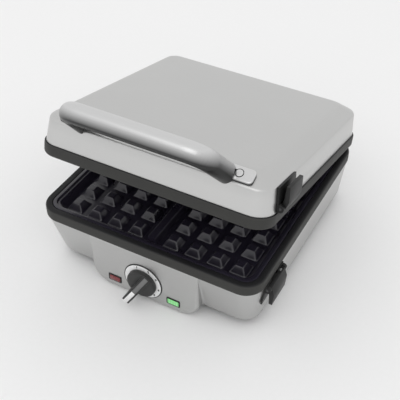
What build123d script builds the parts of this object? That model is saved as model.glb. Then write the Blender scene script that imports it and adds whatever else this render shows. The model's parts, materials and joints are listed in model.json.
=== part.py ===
from build123d import *
import os
from math import cos, radians, sin

os.makedirs("parts", exist_ok=True)

# Four-square waffle maker, millimetres.  +X right, +Y back, +Z up, floor at z = 0.
# The lid is drawn closed and then turned up about the hinge to its resting angle.

# ---- driving dimensions -------------------------------------------------
PITCH = 28.0            # waffle stud spacing
STUDS = 4               # studs each way in one waffle
STUD_BASE = 20.2
STUD_TOP = 9.6
STUD_H = 8.5
WAFFLE_GAP = 26.4       # between the outer studs of neighbouring waffles

WIDTH = 284.0           # over the rims
DEPTH = 292.0
CORNER = 24.0
PARTING = 85.9          # where lid and base meet
RIM_H = 14.4
FOOT_H = 12.0           # rubber feet; also the lower edge of the raked body
APRON_LOW = 2.5         # lower edge of the control apron
LID_OPEN = 13.8         # resting angle of the lid
HINGE_Y = 155.9
HINGE_Z = 68.8
SHEET = 1.2             # housing sheet thickness

BASE_TOP = PARTING - RIM_H
LID_BOTTOM = PARTING + RIM_H
CREASE_Z = 128.5
LID_TOP = 141.0
PLATE_Y = -4.0          # middle of the waffle field
PLATE_HALF = 133.4
LIP = 5.0
PLATE_FLOOR = PARTING - 12.7
KNOB_Z = 30.1
FACE_Y = -145.0         # front of the control apron
APRON_HALF = 71.5
LAMP_X = 39.6
LAMP_Z = 15.1
LATCH_Y = -99.0         # middle of the plate release levers

HINGE_PIN_R = 3.0
HINGE_X = 102.0
LATCH_PIN_R = 1.5
RUNNING_FIT = 0.05


# ---- helpers ------------------------------------------------------------
def outline(half, front, rear, radius, z):
    """Rounded rectangle on the level z, from y = front to y = rear."""
    sketch = RectangleRounded(2 * half, rear - front, radius)
    return Pos(0, (front + rear) / 2, z) * sketch


def slab(half, front, rear, radius, low, high):
    return extrude(outline(half, front, rear, radius, low), high - low)


def tapered(*sections):
    """Straight-sided solid through rounded rectangles."""
    return loft([outline(*section) for section in sections], ruled=True)


def box(x, y, z):
    """Box from three (low, high) pairs."""
    size = Box(x[1] - x[0], y[1] - y[0], z[1] - z[0])
    return Pos((x[0] + x[1]) / 2, (y[0] + y[1]) / 2, (z[0] + z[1]) / 2) * size


def rod(radius, start, end):
    """Round bar between two points."""
    axis = Vector(*end) - Vector(*start)
    circle = Plane(origin=start, z_dir=axis) * Circle(radius)
    return extrude(circle, axis.length, dir=axis.normalized())


def side_profile(points, x0, x1):
    """Extrude a closed (y, z) outline from x0 to x1."""
    face = make_face(Polyline(*[(0, y, z) for y, z in points], close=True))
    return Pos(x0, 0, 0) * extrude(face, x1 - x0, dir=(1, 0, 0))


def front_profile(points, y0, y1):
    """Extrude a closed (x, z) outline from y0 to y1."""
    face = make_face(Polyline(*[(x, 0, z) for x, z in points], close=True))
    return Pos(0, y0, 0) * extrude(face, y1 - y0, dir=(0, 1, 0))


def flipped(shape):
    """The lid's copy of a base part, mirrored in the parting plane."""
    return mirror(shape, about=Plane.XY.offset(PARTING))


def opened(shape):
    return shape.rotate(Axis((0, HINGE_Y, HINGE_Z), (1, 0, 0)), -LID_OPEN)


def group(shapes):
    return Compound([solid for shape in shapes for solid in shape.solids()])


def save(name, shape, on_lid=False):
    solids = [opened(solid) if on_lid else solid for solid in shape.solids()]
    export_step(Compound(solids), f"parts/{name}.step")


# ---- housings -----------------------------------------------------------
FRONT = -DEPTH / 2
REAR = DEPTH / 2
HALF = WIDTH / 2


def lower_form(inset):
    """Raked body of the base, shrunk by the inset on every side."""
    top = (HALF - 1.2 - inset, FRONT + 1.2 + inset, REAR - 0.6 - inset, CORNER - 1.2, BASE_TOP)
    foot = (HALF - 8.8 - inset, FRONT + 16.8 + inset, REAR + 3.4 - inset, CORNER - 3.5, FOOT_H)
    return tapered(foot, top)


def apron_form(inset, top):
    """Control apron standing forward of the raked front, round lower corners."""
    half = APRON_HALF - inset
    bottom = APRON_LOW + inset
    height = top - bottom + 30
    depth = 20 - 2 * inset
    face = RectangleRounded(2 * half, height, 22 - inset)
    block = extrude(Plane.XZ * Pos(0, bottom + height / 2) * face, depth)
    block = Pos(0, FACE_Y + inset + depth, 0) * block
    return block & box((-half - 1, half + 1), (FACE_Y, 0), (0, top))


def through(form, low, high):
    """Carry the end faces of a form on to the levels low and high."""
    faces = form.faces().sort_by(Axis.Z)
    down = extrude(faces[0], faces[0].center().Z - low, dir=(0, 0, -1))
    up = extrude(faces[-1], high - faces[-1].center().Z, dir=(0, 0, 1))
    return form + down + up


base_outer = lower_form(0) + apron_form(0, BASE_TOP)
base_inner = through(lower_form(SHEET), FOOT_H - 2.5, BASE_TOP + 5) + apron_form(SHEET, BASE_TOP + 5)
lower_housing = base_outer - base_inner

lid_form = tapered(
    (HALF - 2, FRONT + 2, REAR - 2, CORNER - 2, LID_BOTTOM),
    (HALF - 5, FRONT + 5, REAR - 5, CORNER - 4, CREASE_Z),
    (HALF - 22.5, FRONT + 22.5, REAR - 28.5, CORNER - 12, LID_TOP),
)
lid_inner = tapered(
    (HALF - 3.2, FRONT + 3.2, REAR - 3.2, CORNER - 3.2, LID_BOTTOM - 1),
    (HALF - 6.2, FRONT + 6.2, REAR - 6.2, CORNER - 5.2, CREASE_Z - 0.5),
    (HALF - 23, FRONT + 23, REAR - 29, CORNER - 12.5, LID_TOP - SHEET),
)
upper_housing = lid_form - lid_inner

# ---- rims ---------------------------------------------------------------
RIM_TOP = PARTING - 0.3
LEDGE_TOP = PARTING - 3.7
OPEN_HALF = PLATE_HALF + 0.5
OPEN_FRONT = PLATE_Y - OPEN_HALF
OPEN_REAR = PLATE_Y + OPEN_HALF


def rim_form():
    """Moulded ring: outer skirt, top band and the ledge that carries the plate."""
    ring = slab(HALF, FRONT, REAR, CORNER, BASE_TOP, RIM_TOP)
    ring -= slab(HALF - 3, FRONT + 3, REAR - 3, CORNER - 3, BASE_TOP - 1, LEDGE_TOP - 3)
    ring -= slab(OPEN_HALF, OPEN_FRONT, OPEN_REAR, 16, LEDGE_TOP, RIM_TOP + 1)
    ledge = 4.2
    ring -= slab(OPEN_HALF - ledge, OPEN_FRONT + ledge, OPEN_REAR - ledge, 12, 0, RIM_TOP + 1)
    return ring


def hinge_block(x):
    return box((x - 14, x + 14), (REAR - 14, REAR - 2), (BASE_TOP, LEDGE_TOP))


base_rim = rim_form()
lid_rim = rim_form() + hinge_block(HINGE_X) + hinge_block(-HINGE_X)
lid_rim = flipped(lid_rim)

# ---- waffle plates ------------------------------------------------------
FIELD = PITCH * (STUDS - 1) / 2                      # first to middle stud
WAFFLE_C = (WAFFLE_GAP + STUD_BASE) / 2 + FIELD      # centre of one waffle
STUD_AT = [sign * (WAFFLE_C - FIELD + i * PITCH) for sign in (-1, 1) for i in range(STUDS)]
PLATE_TOP = PARTING - 0.7
PLATE_BOTTOM = PLATE_FLOOR - 4


def plate_section(half, radius, z):
    return (half, PLATE_Y - half, PLATE_Y + half, radius, z)


def frustum(x, y, base, top, z, height):
    low = Pos(x, y, z) * Rectangle(base, base)
    high = Pos(x, y, z + height) * Rectangle(top, top)
    return loft([low, high], ruled=True)


def ridge(length, along_x):
    """Dividing bar between neighbouring waffles."""
    half = length / 2
    points = [(-7, PLATE_FLOOR - 1), (7, PLATE_FLOOR - 1), (4.6, PLATE_FLOOR + 8), (-4.6, PLATE_FLOOR + 8)]
    bar = front_profile(points, -half, half)
    if along_x:
        bar = Rot(0, 0, 90) * bar
    return Pos(0, PLATE_Y, 0) * bar


def waffle_plate():
    plate = tapered(
        plate_section(PLATE_HALF - 12.4, 10, PLATE_BOTTOM),
        plate_section(PLATE_HALF - 4.8, 12, LEDGE_TOP + 0.1),
    )
    plate += slab(PLATE_HALF, PLATE_Y - PLATE_HALF, PLATE_Y + PLATE_HALF, 15.5, LEDGE_TOP + 0.1, PLATE_TOP)
    lip_half = PLATE_HALF - LIP
    plate -= tapered(
        plate_section(PLATE_HALF - 14, 8, PLATE_FLOOR),
        plate_section(lip_half, 11, PLATE_TOP + 0.01),
    )
    bars = ridge(2 * lip_half - 6, False) + ridge(2 * lip_half - 6, True)
    cavity = tapered(
        plate_section(PLATE_HALF - 13.9, 8, PLATE_FLOOR - 1),
        plate_section(lip_half, 11, PLATE_TOP),
    )
    plate += bars & cavity
    for x in STUD_AT:
        for y in STUD_AT:
            plate += frustum(x, y + PLATE_Y, STUD_BASE, STUD_TOP, PLATE_FLOOR, STUD_H)
    tongue_z = PLATE_BOTTOM + 1
    tongue = box((PLATE_HALF - 14, PLATE_HALF - 3), (LATCH_Y - 7, LATCH_Y + 7), (tongue_z, tongue_z + 2.4))
    return plate + tongue


lower_plate = waffle_plate()
upper_plate = flipped(lower_plate)

# ---- heater pans, elements, standoffs ----------------------------------
PAN_FLOOR = 55.0
PAN_T = 0.8
POST_X = 98.0
POST_Y = (-98.0, 104.0)


def heater_pan():
    """Pressed tray under the plate; its flange hangs from the rim's ledge."""
    flange_half = OPEN_HALF - 1
    top = LEDGE_TOP - 3
    pan = tapered(
        plate_section(PLATE_HALF - 16, 10, PAN_FLOOR),
        plate_section(PLATE_HALF - 5.2, 13, top),
    )
    pan += slab(flange_half, PLATE_Y - flange_half, PLATE_Y + flange_half, 15, top - PAN_T, top)
    pan -= tapered(
        plate_section(PLATE_HALF - 16 - PAN_T, 10, PAN_FLOOR + PAN_T),
        plate_section(PLATE_HALF - 6, 12.5, top + 0.01),
    )
    window = box((PLATE_HALF - 20, HALF), (LATCH_Y - 9, LATCH_Y + 9), (PLATE_BOTTOM - 1, top - 3))
    pan -= window
    for x in (-20, 20):
        pan -= Pos(x, 105, PAN_FLOOR) * Cylinder(4.5, 4)
    return pan


def heating_element():
    """Sheathed tube bent to a ladder of U turns with its two cold ends turned down."""
    reach = 88
    z = PLATE_BOTTOM - 3.3
    points = [
        (-20, 105, PAN_FLOOR - 8), (-20, 105, z), (-reach, 105, z), (-reach, -105, z),
        (-32, -105, z), (-32, 62, z), (32, 62, z), (32, -105, z),
        (reach, -105, z), (reach, 105, z), (20, 105, z), (20, 105, PAN_FLOOR - 8),
    ]
    path = FilletPolyline(*points, radius=9)
    section = Plane(origin=path @ 0, z_dir=path % 0) * Circle(3.2)
    return sweep(section, path=path)


def standoff(x, y, low, high):
    bar = rod(4.0, (x, y, low), (x, y, high))
    return bar - rod(1.7, (x, y, low - 1), (x, y, low + 14))


lower_pan = heater_pan()
upper_pan = flipped(lower_pan)
lower_element = heating_element()
upper_element = flipped(lower_element)

COVER_T = 2.0
COVER_Z = FOOT_H
base_standoffs = [standoff(sx * POST_X, y, COVER_Z + COVER_T, PAN_FLOOR) for sx in (-1, 1) for y in POST_Y]
lid_pan_top = 2 * PARTING - PAN_FLOOR
lid_standoffs = [
    rod(4.0, (sx * POST_X, y, lid_pan_top), (sx * POST_X, y, LID_TOP - SHEET))
    for sx in (-1, 1)
    for y in (-98.0, 90.0)
]

# ---- bottom cover, feet, screws ----------------------------------------
cover_half = HALF - 8.8 - SHEET - 0.6
bottom_cover = slab(cover_half, FRONT + 24.6, REAR + 1.6, CORNER - 5.3, COVER_Z, COVER_Z + COVER_T)
for row in range(6):
    y = -50 + row * 18
    slot = Pos(0, y, COVER_Z) * SlotOverall(70, 5)
    bottom_cover -= extrude(slot, COVER_T)
foot_places = [(sx * POST_X, y) for sx in (-1, 1) for y in POST_Y]
SCREW_SEAT = 8.0
feet = []
foot_screws = []
for x, y in foot_places:
    bottom_cover -= Pos(x, y, COVER_Z) * Cylinder(1.8, 3 * COVER_T)
    foot = Pos(x, y, FOOT_H / 2) * Cylinder(9, FOOT_H)
    foot -= rod(4.2, (x, y, -1), (x, y, SCREW_SEAT))
    foot -= rod(1.8, (x, y, 0), (x, y, FOOT_H + 1))
    feet.append(foot)
    screw = rod(3.6, (x, y, SCREW_SEAT - 1.6), (x, y, SCREW_SEAT))
    screw += rod(1.65, (x, y, SCREW_SEAT), (x, y, COVER_Z + COVER_T + 11.5))
    foot_screws.append(screw)

# ---- front controls -----------------------------------------------------
SHAFT_R = 3.0
BRACKET_Y = FACE_Y + SHEET + 2
POINTER = 57.0          # pointer direction, degrees from +X towards +Z


def along(y0, y1, radius, x=0.0, z=KNOB_Z):
    """Round bar along Y."""
    return rod(radius, (x, y0, z), (x, y1, z))


def turned(shape):
    """Turn a knob part from pointing right to the pointer's resting direction."""
    return shape.rotate(Axis((0, 0, KNOB_Z), (0, 1, 0)), -POINTER)


dial_ring = along(FACE_Y - 1, FACE_Y, 25.2) - along(FACE_Y - 2, FACE_Y + 1, 10)

KNOB_R = 19.7
knob_back = FACE_Y - 1.4
knob_face = knob_back - 6.2
CREST_KINK = (-2.0, knob_face - 12.5)
CREST_TIP = (-KNOB_R + 0.6, knob_face - 17.5)
blade_profile = [
    (KNOB_R - 0.6, knob_face + 1),
    (KNOB_R - 0.6, knob_face - 0.6),
    CREST_KINK,
    CREST_TIP,
    (-KNOB_R + 0.6, knob_face + 1),
]


def blade(points, half_width):
    """Fin standing on the knob's face, outline in (reach, y)."""
    face = make_face(Polyline(*[(r, y, 0) for r, y in points], close=True))
    fin = extrude(face, half_width, both=True)
    return Pos(0, 0, KNOB_Z) * fin


insert_depth = 1.0
insert_points = [
    (KNOB_R - 1.6, knob_face - 0.6 - 0.3),
    (CREST_KINK[0], CREST_KINK[1]),
    (CREST_TIP[0], CREST_TIP[1]),
    (CREST_TIP[0], CREST_TIP[1] + insert_depth),
    (CREST_KINK[0], CREST_KINK[1] + insert_depth),
    (KNOB_R - 1.6, knob_face - 0.6 + 0.7),
]
knob_insert = turned(blade(insert_points, 2.6))
knob_body = along(knob_face, knob_back, KNOB_R)
knob_body = chamfer(knob_body.edges().filter_by(GeomType.CIRCLE).sort_by(Axis.Y)[0], 0.8)
knob = turned(knob_body + blade(blade_profile, 4.8)) - knob_insert
knob_bore = along(knob_face + 0.5, knob_back + 1, SHAFT_R)
knob -= knob_bore

shaft = along(knob_face + 0.5, BRACKET_Y + 12, SHAFT_R)
shaft_hole = along(FACE_Y - 5, FACE_Y + 14, SHAFT_R + 0.6)
lower_housing -= shaft_hole

control_bracket = box((-58, 58), (BRACKET_Y, BRACKET_Y + 1.5), (8, 46))
control_bracket += box((-58, 58), (BRACKET_Y, BRACKET_Y + 14), (44.5, 46))
control_bracket -= along(BRACKET_Y - 1, BRACKET_Y + 3, SHAFT_R + 0.6)
bracket_spacers = [along(FACE_Y + SHEET, BRACKET_Y, 4, x, 36) for x in (-50, 50)]

thermostat = box((-16, 16), (BRACKET_Y + 1.5, BRACKET_Y + 22), (KNOB_Z - 13, KNOB_Z + 13))
thermostat += along(BRACKET_Y + 22, BRACKET_Y + 27, 9)
thermostat -= along(BRACKET_Y, BRACKET_Y + 12, SHAFT_R + RUNNING_FIT)
thermostat += box((-12, -9), (BRACKET_Y + 10, BRACKET_Y + 20), (KNOB_Z - 20, KNOB_Z - 13))
thermostat += box((9, 12), (BRACKET_Y + 10, BRACKET_Y + 20), (KNOB_Z - 20, KNOB_Z - 13))

LENS_W = 14.6
LENS_H = 7.2


def lamp_block(x, width, height, y0, y1):
    return box((x - width / 2, x + width / 2), (y0, y1), (LAMP_Z - height / 2, LAMP_Z + height / 2))


lenses = []
bezels = []
lamps = []
for x in (-LAMP_X, LAMP_X):
    bezel = lamp_block(x, LENS_W + 3.2, LENS_H + 3.2, FACE_Y - 0.7, FACE_Y)
    bezel += lamp_block(x, LENS_W + 1.6, LENS_H + 1.6, FACE_Y, BRACKET_Y)
    bezel -= lamp_block(x, LENS_W, LENS_H, FACE_Y - 5, BRACKET_Y + 1)
    bezels.append(bezel)
    lower_housing -= lamp_block(x, LENS_W + 1.6, LENS_H + 1.6, FACE_Y - 1, FACE_Y + SHEET)
    lenses.append(lamp_block(x, LENS_W, LENS_H, FACE_Y - 1.1, BRACKET_Y - 0.4))
    control_bracket -= along(BRACKET_Y - 1, BRACKET_Y + 2, 3.0, x, LAMP_Z)
    lamp = along(BRACKET_Y, BRACKET_Y + 14, 3.0, x, LAMP_Z)
    lamps.append(lamp + along(BRACKET_Y + 14, BRACKET_Y + 18, 4.5, x, LAMP_Z))

# ---- plate release levers ----------------------------------------------
PIVOT = (143.6, BASE_TOP - 5.5)          # (x, z) of the lever's pin
LEVER_HALF = 17.5
CRANK_HALF = 6.0
PAD_LOW = BASE_TOP - 30.0


def lever_profile(points, half):
    return front_profile(points, LATCH_Y - half, LATCH_Y + half)


def release_mount(body):
    """Backing plate with two ears, shaped to the raked wall behind it."""
    x_out = 141.6
    low = PAD_LOW + 1
    z_top = BASE_TOP - 0.4
    wall_lean = 7.4
    plate = box((0, 2.0), (LATCH_Y - 23, LATCH_Y + 23), (low - BASE_TOP, -0.4))
    plate = Pos(HALF - 1.2, 0, BASE_TOP) * Rot(0, wall_lean, 0) * plate
    plate &= box((120, 160), (LATCH_Y - 23, LATCH_Y + 23), (low, z_top))
    for side in (-1, 1):
        y_in = LATCH_Y + side * (LEVER_HALF + 0.5)
        y_out = LATCH_Y + side * 22
        ys = (min(y_in, y_out), max(y_in, y_out))
        ear = box((x_out - 4, PIVOT[0]), ys, (PIVOT[1] - 4, PIVOT[1] + 4))
        ear += rod(4.0, (PIVOT[0], ys[0], PIVOT[1]), (PIVOT[0], ys[1], PIVOT[1]))
        plate += ear
    plate -= body
    plate -= box((120, x_out + 20), (LATCH_Y - 8, LATCH_Y + 8), (BASE_TOP - 12.5, BASE_TOP))
    plate -= rod(3.8, (PIVOT[0], LATCH_Y + 8.5, PIVOT[1]), (PIVOT[0], LATCH_Y + 15.5, PIVOT[1]))
    plate -= rod(LATCH_PIN_R, (PIVOT[0], LATCH_Y - 30, PIVOT[1]), (PIVOT[0], LATCH_Y + 30, PIVOT[1]))
    return plate


def release_lever():
    """Finger pad below the pin, cranked hook reaching in over the plate's tongue."""
    px, pz = PIVOT
    pad = lever_profile(
        [(px - 0.6, pz + 3.2), (px + 3.4, pz + 2.6), (px + 6.6, pz - 8), (px + 5.2, PAD_LOW),
         (px + 1.2, PAD_LOW), (px + 0.9, pz - 10), (px - 0.6, pz - 3.4)],
        LEVER_HALF,
    )
    top_z = PLATE_BOTTOM + 6.4
    hook = lever_profile(
        [(px, pz - 2.4), (px, pz + 2.4), (136.6, pz + 2.4), (136.6, top_z), (PLATE_HALF - 6.5, top_z),
         (PLATE_HALF - 6.5, top_z - 2.2), (134.2, top_z - 2.2), (134.2, pz - 2.4)],
        CRANK_HALF,
    )
    lever = pad + hook
    bore = rod(LATCH_PIN_R + RUNNING_FIT, (px, LATCH_Y - 30, pz), (px, LATCH_Y + 30, pz))
    pocket = rod(3.4, (px, LATCH_Y + 9, pz), (px, LATCH_Y + 15, pz))
    return lever - bore - pocket


def release_pin():
    px, pz = PIVOT
    return rod(LATCH_PIN_R, (px, LATCH_Y - 22, pz), (px, LATCH_Y + 22, pz))


def release_spring():
    """Small coil round the pin, inside the lever's pocket."""
    px, pz = PIVOT
    coil = Helix(pitch=1.4, height=4.2, radius=2.5)
    section = Plane(origin=coil @ 0, z_dir=coil % 0) * Circle(0.4)
    wire = sweep(section, path=coil, is_frenet=True)
    return Pos(px, LATCH_Y + 14, pz) * Rot(90, 0, 0) * wire


def lever_window(low, high):
    return box((HALF - 12, HALF + 2), (LATCH_Y - 8, LATCH_Y + 8), (low, high))


lower_housing -= lever_window(BASE_TOP - 12.5, BASE_TOP)
base_release = release_mount(lower_form(0))
upper_flat_form = flipped(lid_form)
lid_release = release_mount(upper_flat_form)
lever = release_lever()
pin = release_pin()
spring = release_spring()
upper_housing -= flipped(lever_window(BASE_TOP - 12.5, BASE_TOP + 0.2))

# ---- hinge --------------------------------------------------------------
ARM_HALF = 6.0
EAR_T = 4.0
BARREL_R = 8.0


def hinge_axis_rod(radius, x0, x1):
    return rod(radius, (x0, HINGE_Y, HINGE_Z), (x1, HINGE_Y, HINGE_Z))


def hinge_arm(x):
    """Lid arm: barrel on the pin and a web up to the pad on the rim's back."""
    web = side_profile(
        [(REAR + 0.1, PARTING + 1), (REAR + 0.1, LID_BOTTOM - 0.5), (REAR + 5, LID_BOTTOM - 0.5),
         (HINGE_Y + BARREL_R, HINGE_Z + 4), (HINGE_Y + BARREL_R - 1, HINGE_Z - 3), (HINGE_Y, HINGE_Z),
         (HINGE_Y - BARREL_R + 0.2, HINGE_Z + 3)],
        x - ARM_HALF,
        x + ARM_HALF,
    )
    arm = web + hinge_axis_rod(BARREL_R, x - ARM_HALF, x + ARM_HALF)
    arm -= hinge_axis_rod(HINGE_PIN_R + RUNNING_FIT, x - 20, x + 20)
    for z in (PARTING + 4.2, LID_BOTTOM - 3.4):
        arm -= along(REAR - 1, REAR + 30, 1.7, x, z)
        arm -= along(REAR + 3.4, REAR + 30, 3.3, x, z)
    return arm


def hinge_bracket(x):
    """Base bracket: foot plate on the back wall and two ears round the pin."""
    reach = ARM_HALF + 0.4 + EAR_T
    foot = box((x - reach - 5, x + reach + 5), (REAR - 6, REAR + 4.6), (44, BASE_TOP - 1))
    bracket = foot
    for side in (-1, 1):
        inner = x + side * (ARM_HALF + 0.4)
        outer = x + side * reach
        lo, hi = min(inner, outer), max(inner, outer)
        ear = side_profile(
            [(REAR, 50), (HINGE_Y + 4, HINGE_Z - 7.2), (HINGE_Y + 7, HINGE_Z), (HINGE_Y, HINGE_Z + 2),
             (REAR + 1, BASE_TOP - 1)],
            lo,
            hi,
        )
        bracket += ear + hinge_axis_rod(7.5, lo, hi)
    bracket -= hinge_axis_rod(BARREL_R + 0.5, x - ARM_HALF - 0.4, x + ARM_HALF + 0.4)
    bracket -= hinge_axis_rod(HINGE_PIN_R, x - 30, x + 30)
    bracket -= lower_form(0)
    bracket -= slab(HALF, FRONT, REAR + 0.1, CORNER, BASE_TOP, RIM_TOP + 5)
    for side in (-1, 1):
        bracket -= along(REAR - 10, REAR + 30, 1.7, x + side * (reach + 2.5), 50)
    return bracket


def hinge_pin(x):
    reach = ARM_HALF + 0.4 + EAR_T
    tube = hinge_axis_rod(HINGE_PIN_R, x - reach - 1, x + reach + 1)
    return tube - hinge_axis_rod(1.5, x - 30, x + 30)


def cap_screw(x, y, z, length):
    """Round-headed screw pointing forward from the plane y."""
    head = along(y, y + 1.8, 3.0, x, z)
    return head + along(y - length, y, 1.65, x, z)


hinge_arms = [hinge_arm(sx * HINGE_X) for sx in (-1, 1)]
hinge_brackets = [hinge_bracket(sx * HINGE_X) for sx in (-1, 1)]
hinge_pins = [hinge_pin(sx * HINGE_X) for sx in (-1, 1)]
arm_screws = []
bracket_screws = []
for sx in (-1, 1):
    x = sx * HINGE_X
    for z in (PARTING + 4.2, LID_BOTTOM - 3.4):
        arm_screws.append(cap_screw(x, REAR + 3.4, z, 12))
        lid_rim -= along(REAR - 10, REAR + 1, 1.65, x, z)
    for side in (-1, 1):
        sxp = x + side * (ARM_HALF + 0.4 + EAR_T + 2.5)
        bracket_screws.append(cap_screw(sxp, REAR + 4.6, 50, 9))
        lower_housing -= along(REAR - 12, REAR + 6, 1.7, sxp, 50)

# ---- handle -------------------------------------------------------------
BEVEL_LOW = Vector(0, FRONT + 5, CREASE_Z)
BEVEL_HIGH = Vector(0, FRONT + 22.5, LID_TOP)
BEVEL_MID = (BEVEL_LOW + BEVEL_HIGH) * 0.5
bevel_slope = (BEVEL_HIGH - BEVEL_LOW).normalized()
bevel_normal = Vector(0, -bevel_slope.Z, bevel_slope.Y)
HANDLE_RISE = 35.8      # how steeply the bow stands forward
HANDLE_OUT = 57.3       # how far it stands out
HANDLE_FOOT = 86.0
HANDLE_SHOULDER = 78.2
HANDLE_W = 23.0
HANDLE_D = 11.3
HANDLE_BEND = 20.4
PADDLE_X = 99.5
PADDLE_L = 34.0
PADDLE_T = 3.6

handle_up = Vector(0, -cos(radians(HANDLE_RISE)), sin(radians(HANDLE_RISE)))
handle_across = Vector(0, sin(radians(HANDLE_RISE)), cos(radians(HANDLE_RISE)))
handle_root = BEVEL_MID - handle_across * 2.5
bow_plane = Plane(origin=handle_root, x_dir=(1, 0, 0), z_dir=handle_across * -1)


def paddle_plane(x):
    origin = BEVEL_MID + Vector(x, 0, 0)
    return Plane(origin=origin, x_dir=(1, 0, 0), z_dir=bevel_normal)


def handle_bow():
    lean = (HANDLE_FOOT - HANDLE_SHOULDER) / HANDLE_OUT
    sunk = 8.0
    path = bow_plane * FilletPolyline(
        (-HANDLE_FOOT - lean * sunk, -sunk),
        (-HANDLE_SHOULDER, HANDLE_OUT),
        (HANDLE_SHOULDER, HANDLE_OUT),
        (HANDLE_FOOT + lean * sunk, -sunk),
        radius=HANDLE_BEND,
    )
    below = 3.0
    keep = Pos(0, (HANDLE_D + 1 - below) / 2) * Rectangle(HANDLE_W + 2, HANDLE_D + 1 + below)
    section = Ellipse(HANDLE_W / 2, HANDLE_D) & keep
    start = Plane(origin=path @ 0, x_dir=handle_across, z_dir=path % 0)
    return sweep(start * section, path=path)


def paddle(x):
    plate = extrude(RectangleRounded(PADDLE_L, 17.5, 5), PADDLE_T)
    plate -= Pos(0, 0, PADDLE_T) * Cylinder(4.9, 3.0)
    plate -= Cylinder(2.1, 20)
    return paddle_plane(x) * plate


def bevel_round(x, radius, low, high):
    """Round bar square to the bevel."""
    cylinder = Pos(0, 0, (low + high) / 2) * Cylinder(radius, high - low)
    return paddle_plane(x) * cylinder


screw_x = PADDLE_X + 2
handle = handle_bow() + paddle(PADDLE_X) + paddle(-PADDLE_X)
handle -= lid_form
handle_caps = []
handle_screws = []
handle_nuts = []
for sx in (-1, 1):
    x = sx * PADDLE_X
    handle_caps.append(bevel_round(x, 4.7, 2.1, PADDLE_T + 0.5))
    handle_screws.append(bevel_round(x, 3.6, 0.6, 2.0) + bevel_round(x, 2.0, -9, 0.6))
    handle -= bevel_round(x, 4.9, 0.6, 10)
    upper_housing -= bevel_round(x, 2.1, -4, 4)
    nut = paddle_plane(x) * (Pos(0, 0, -4.8) * extrude(RegularPolygon(4, 6), 3))
    handle_nuts.append(nut - bevel_round(x, 2.0, -10, 1))

# ---- mains side ---------------------------------------------------------
INLET_X = 40.0
INLET_Z = 24.0
INLET_Y = REAR + 3.0
inlet = along(INLET_Y - 10, INLET_Y + 9, 6.2, INLET_X, INLET_Z)
inlet += along(INLET_Y + 0.8, INLET_Y + 3.4, 9.5, INLET_X, INLET_Z)
inlet -= lower_form(0) - lower_form(SHEET) - along(0, 200, 6.2, INLET_X, INLET_Z)
inlet -= along(INLET_Y - 20, INLET_Y + 20, 3.2, INLET_X, INLET_Z)
lower_housing -= along(INLET_Y - 8, INLET_Y + 8, 6.2, INLET_X, INLET_Z)

TERMINAL_Y = 112.0
terminal_block = box((INLET_X - 20, INLET_X + 20), (TERMINAL_Y, TERMINAL_Y + 12), (COVER_Z + COVER_T, COVER_Z + 18))
for i in range(3):
    x = INLET_X - 12 + 12 * i
    terminal_block -= along(TERMINAL_Y - 1, TERMINAL_Y + 20, 2.2, x, COVER_Z + 9)


def lead(radius, *points):
    """Insulated wire laid in one smooth curve through a few points."""
    path = Spline(*points)
    section = Plane(origin=path @ 0, z_dir=path % 0) * Circle(radius)
    return sweep(section, path=path)


stat_back = BRACKET_Y + 20
wire_z = COVER_Z + 9
base_leads = [
    lead(1.4, (INLET_X - 12, TERMINAL_Y, wire_z), (INLET_X - 14, 60, wire_z + 1),
         (14, -20, wire_z), (10.5, stat_back + 12, wire_z), (10.5, stat_back + 1.6, KNOB_Z - 14.6)),
    lead(1.4, (-10.5, stat_back + 1.6, KNOB_Z - 14.6), (-12, stat_back + 14, wire_z),
         (-16, 40, wire_z + 2), (-20, 98, 28), (-20, 105, PAN_FLOOR - 9)),
    lead(1.4, (INLET_X, TERMINAL_Y, wire_z), (INLET_X - 4, 92, wire_z + 6), (24, 98, 32),
         (20, 105, PAN_FLOOR - 9)),
]
fuse_z = lid_pan_top + 3.2
thermal_fuse = rod(3.0, (-8, 96, fuse_z), (8, 96, fuse_z))
element_end_z = 2 * PARTING - PAN_FLOOR + 8
lid_leads = [
    lead(1.4, (8.5, 96, fuse_z), (15, 97, fuse_z + 1), (30, 104, fuse_z + 10), (24, 106, element_end_z + 5),
         (20, 105, element_end_z + 1)),
    lead(1.4, (-20, 105, element_end_z + 1), (-26, 105, element_end_z + 6), (-60, 100, lid_pan_top + 12),
         (-HINGE_X + 16, 98, lid_pan_top + 6)),
]

# ---- parts --------------------------------------------------------------
base_parts = {
    "lower_housing": lower_housing,
    "bottom_cover": bottom_cover,
    "feet": group(feet),
    "foot_screws": group(foot_screws),
    "base_standoffs": group(base_standoffs),
    "base_rim": base_rim,
    "lower_plate": lower_plate,
    "lower_element": lower_element,
    "lower_pan": lower_pan,
    "dial_ring": dial_ring,
    "knob": knob,
    "knob_insert": knob_insert,
    "thermostat_shaft": shaft,
    "thermostat": thermostat,
    "control_bracket": control_bracket,
    "bracket_spacers": group(bracket_spacers),
    "lamp_bezels": group(bezels),
    "preheat_lens": lenses[0],
    "ready_lens": lenses[1],
    "indicator_lamps": group(lamps),
    "base_release_mount": base_release,
    "base_release_lever": lever,
    "base_release_pin": pin,
    "base_release_spring": spring,
    "hinge_brackets": group(hinge_brackets),
    "hinge_pins": group(hinge_pins),
    "hinge_bracket_screws": group(bracket_screws),
    "cord_inlet": inlet,
    "terminal_block": terminal_block,
    "base_leads": group(base_leads),
}
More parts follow.
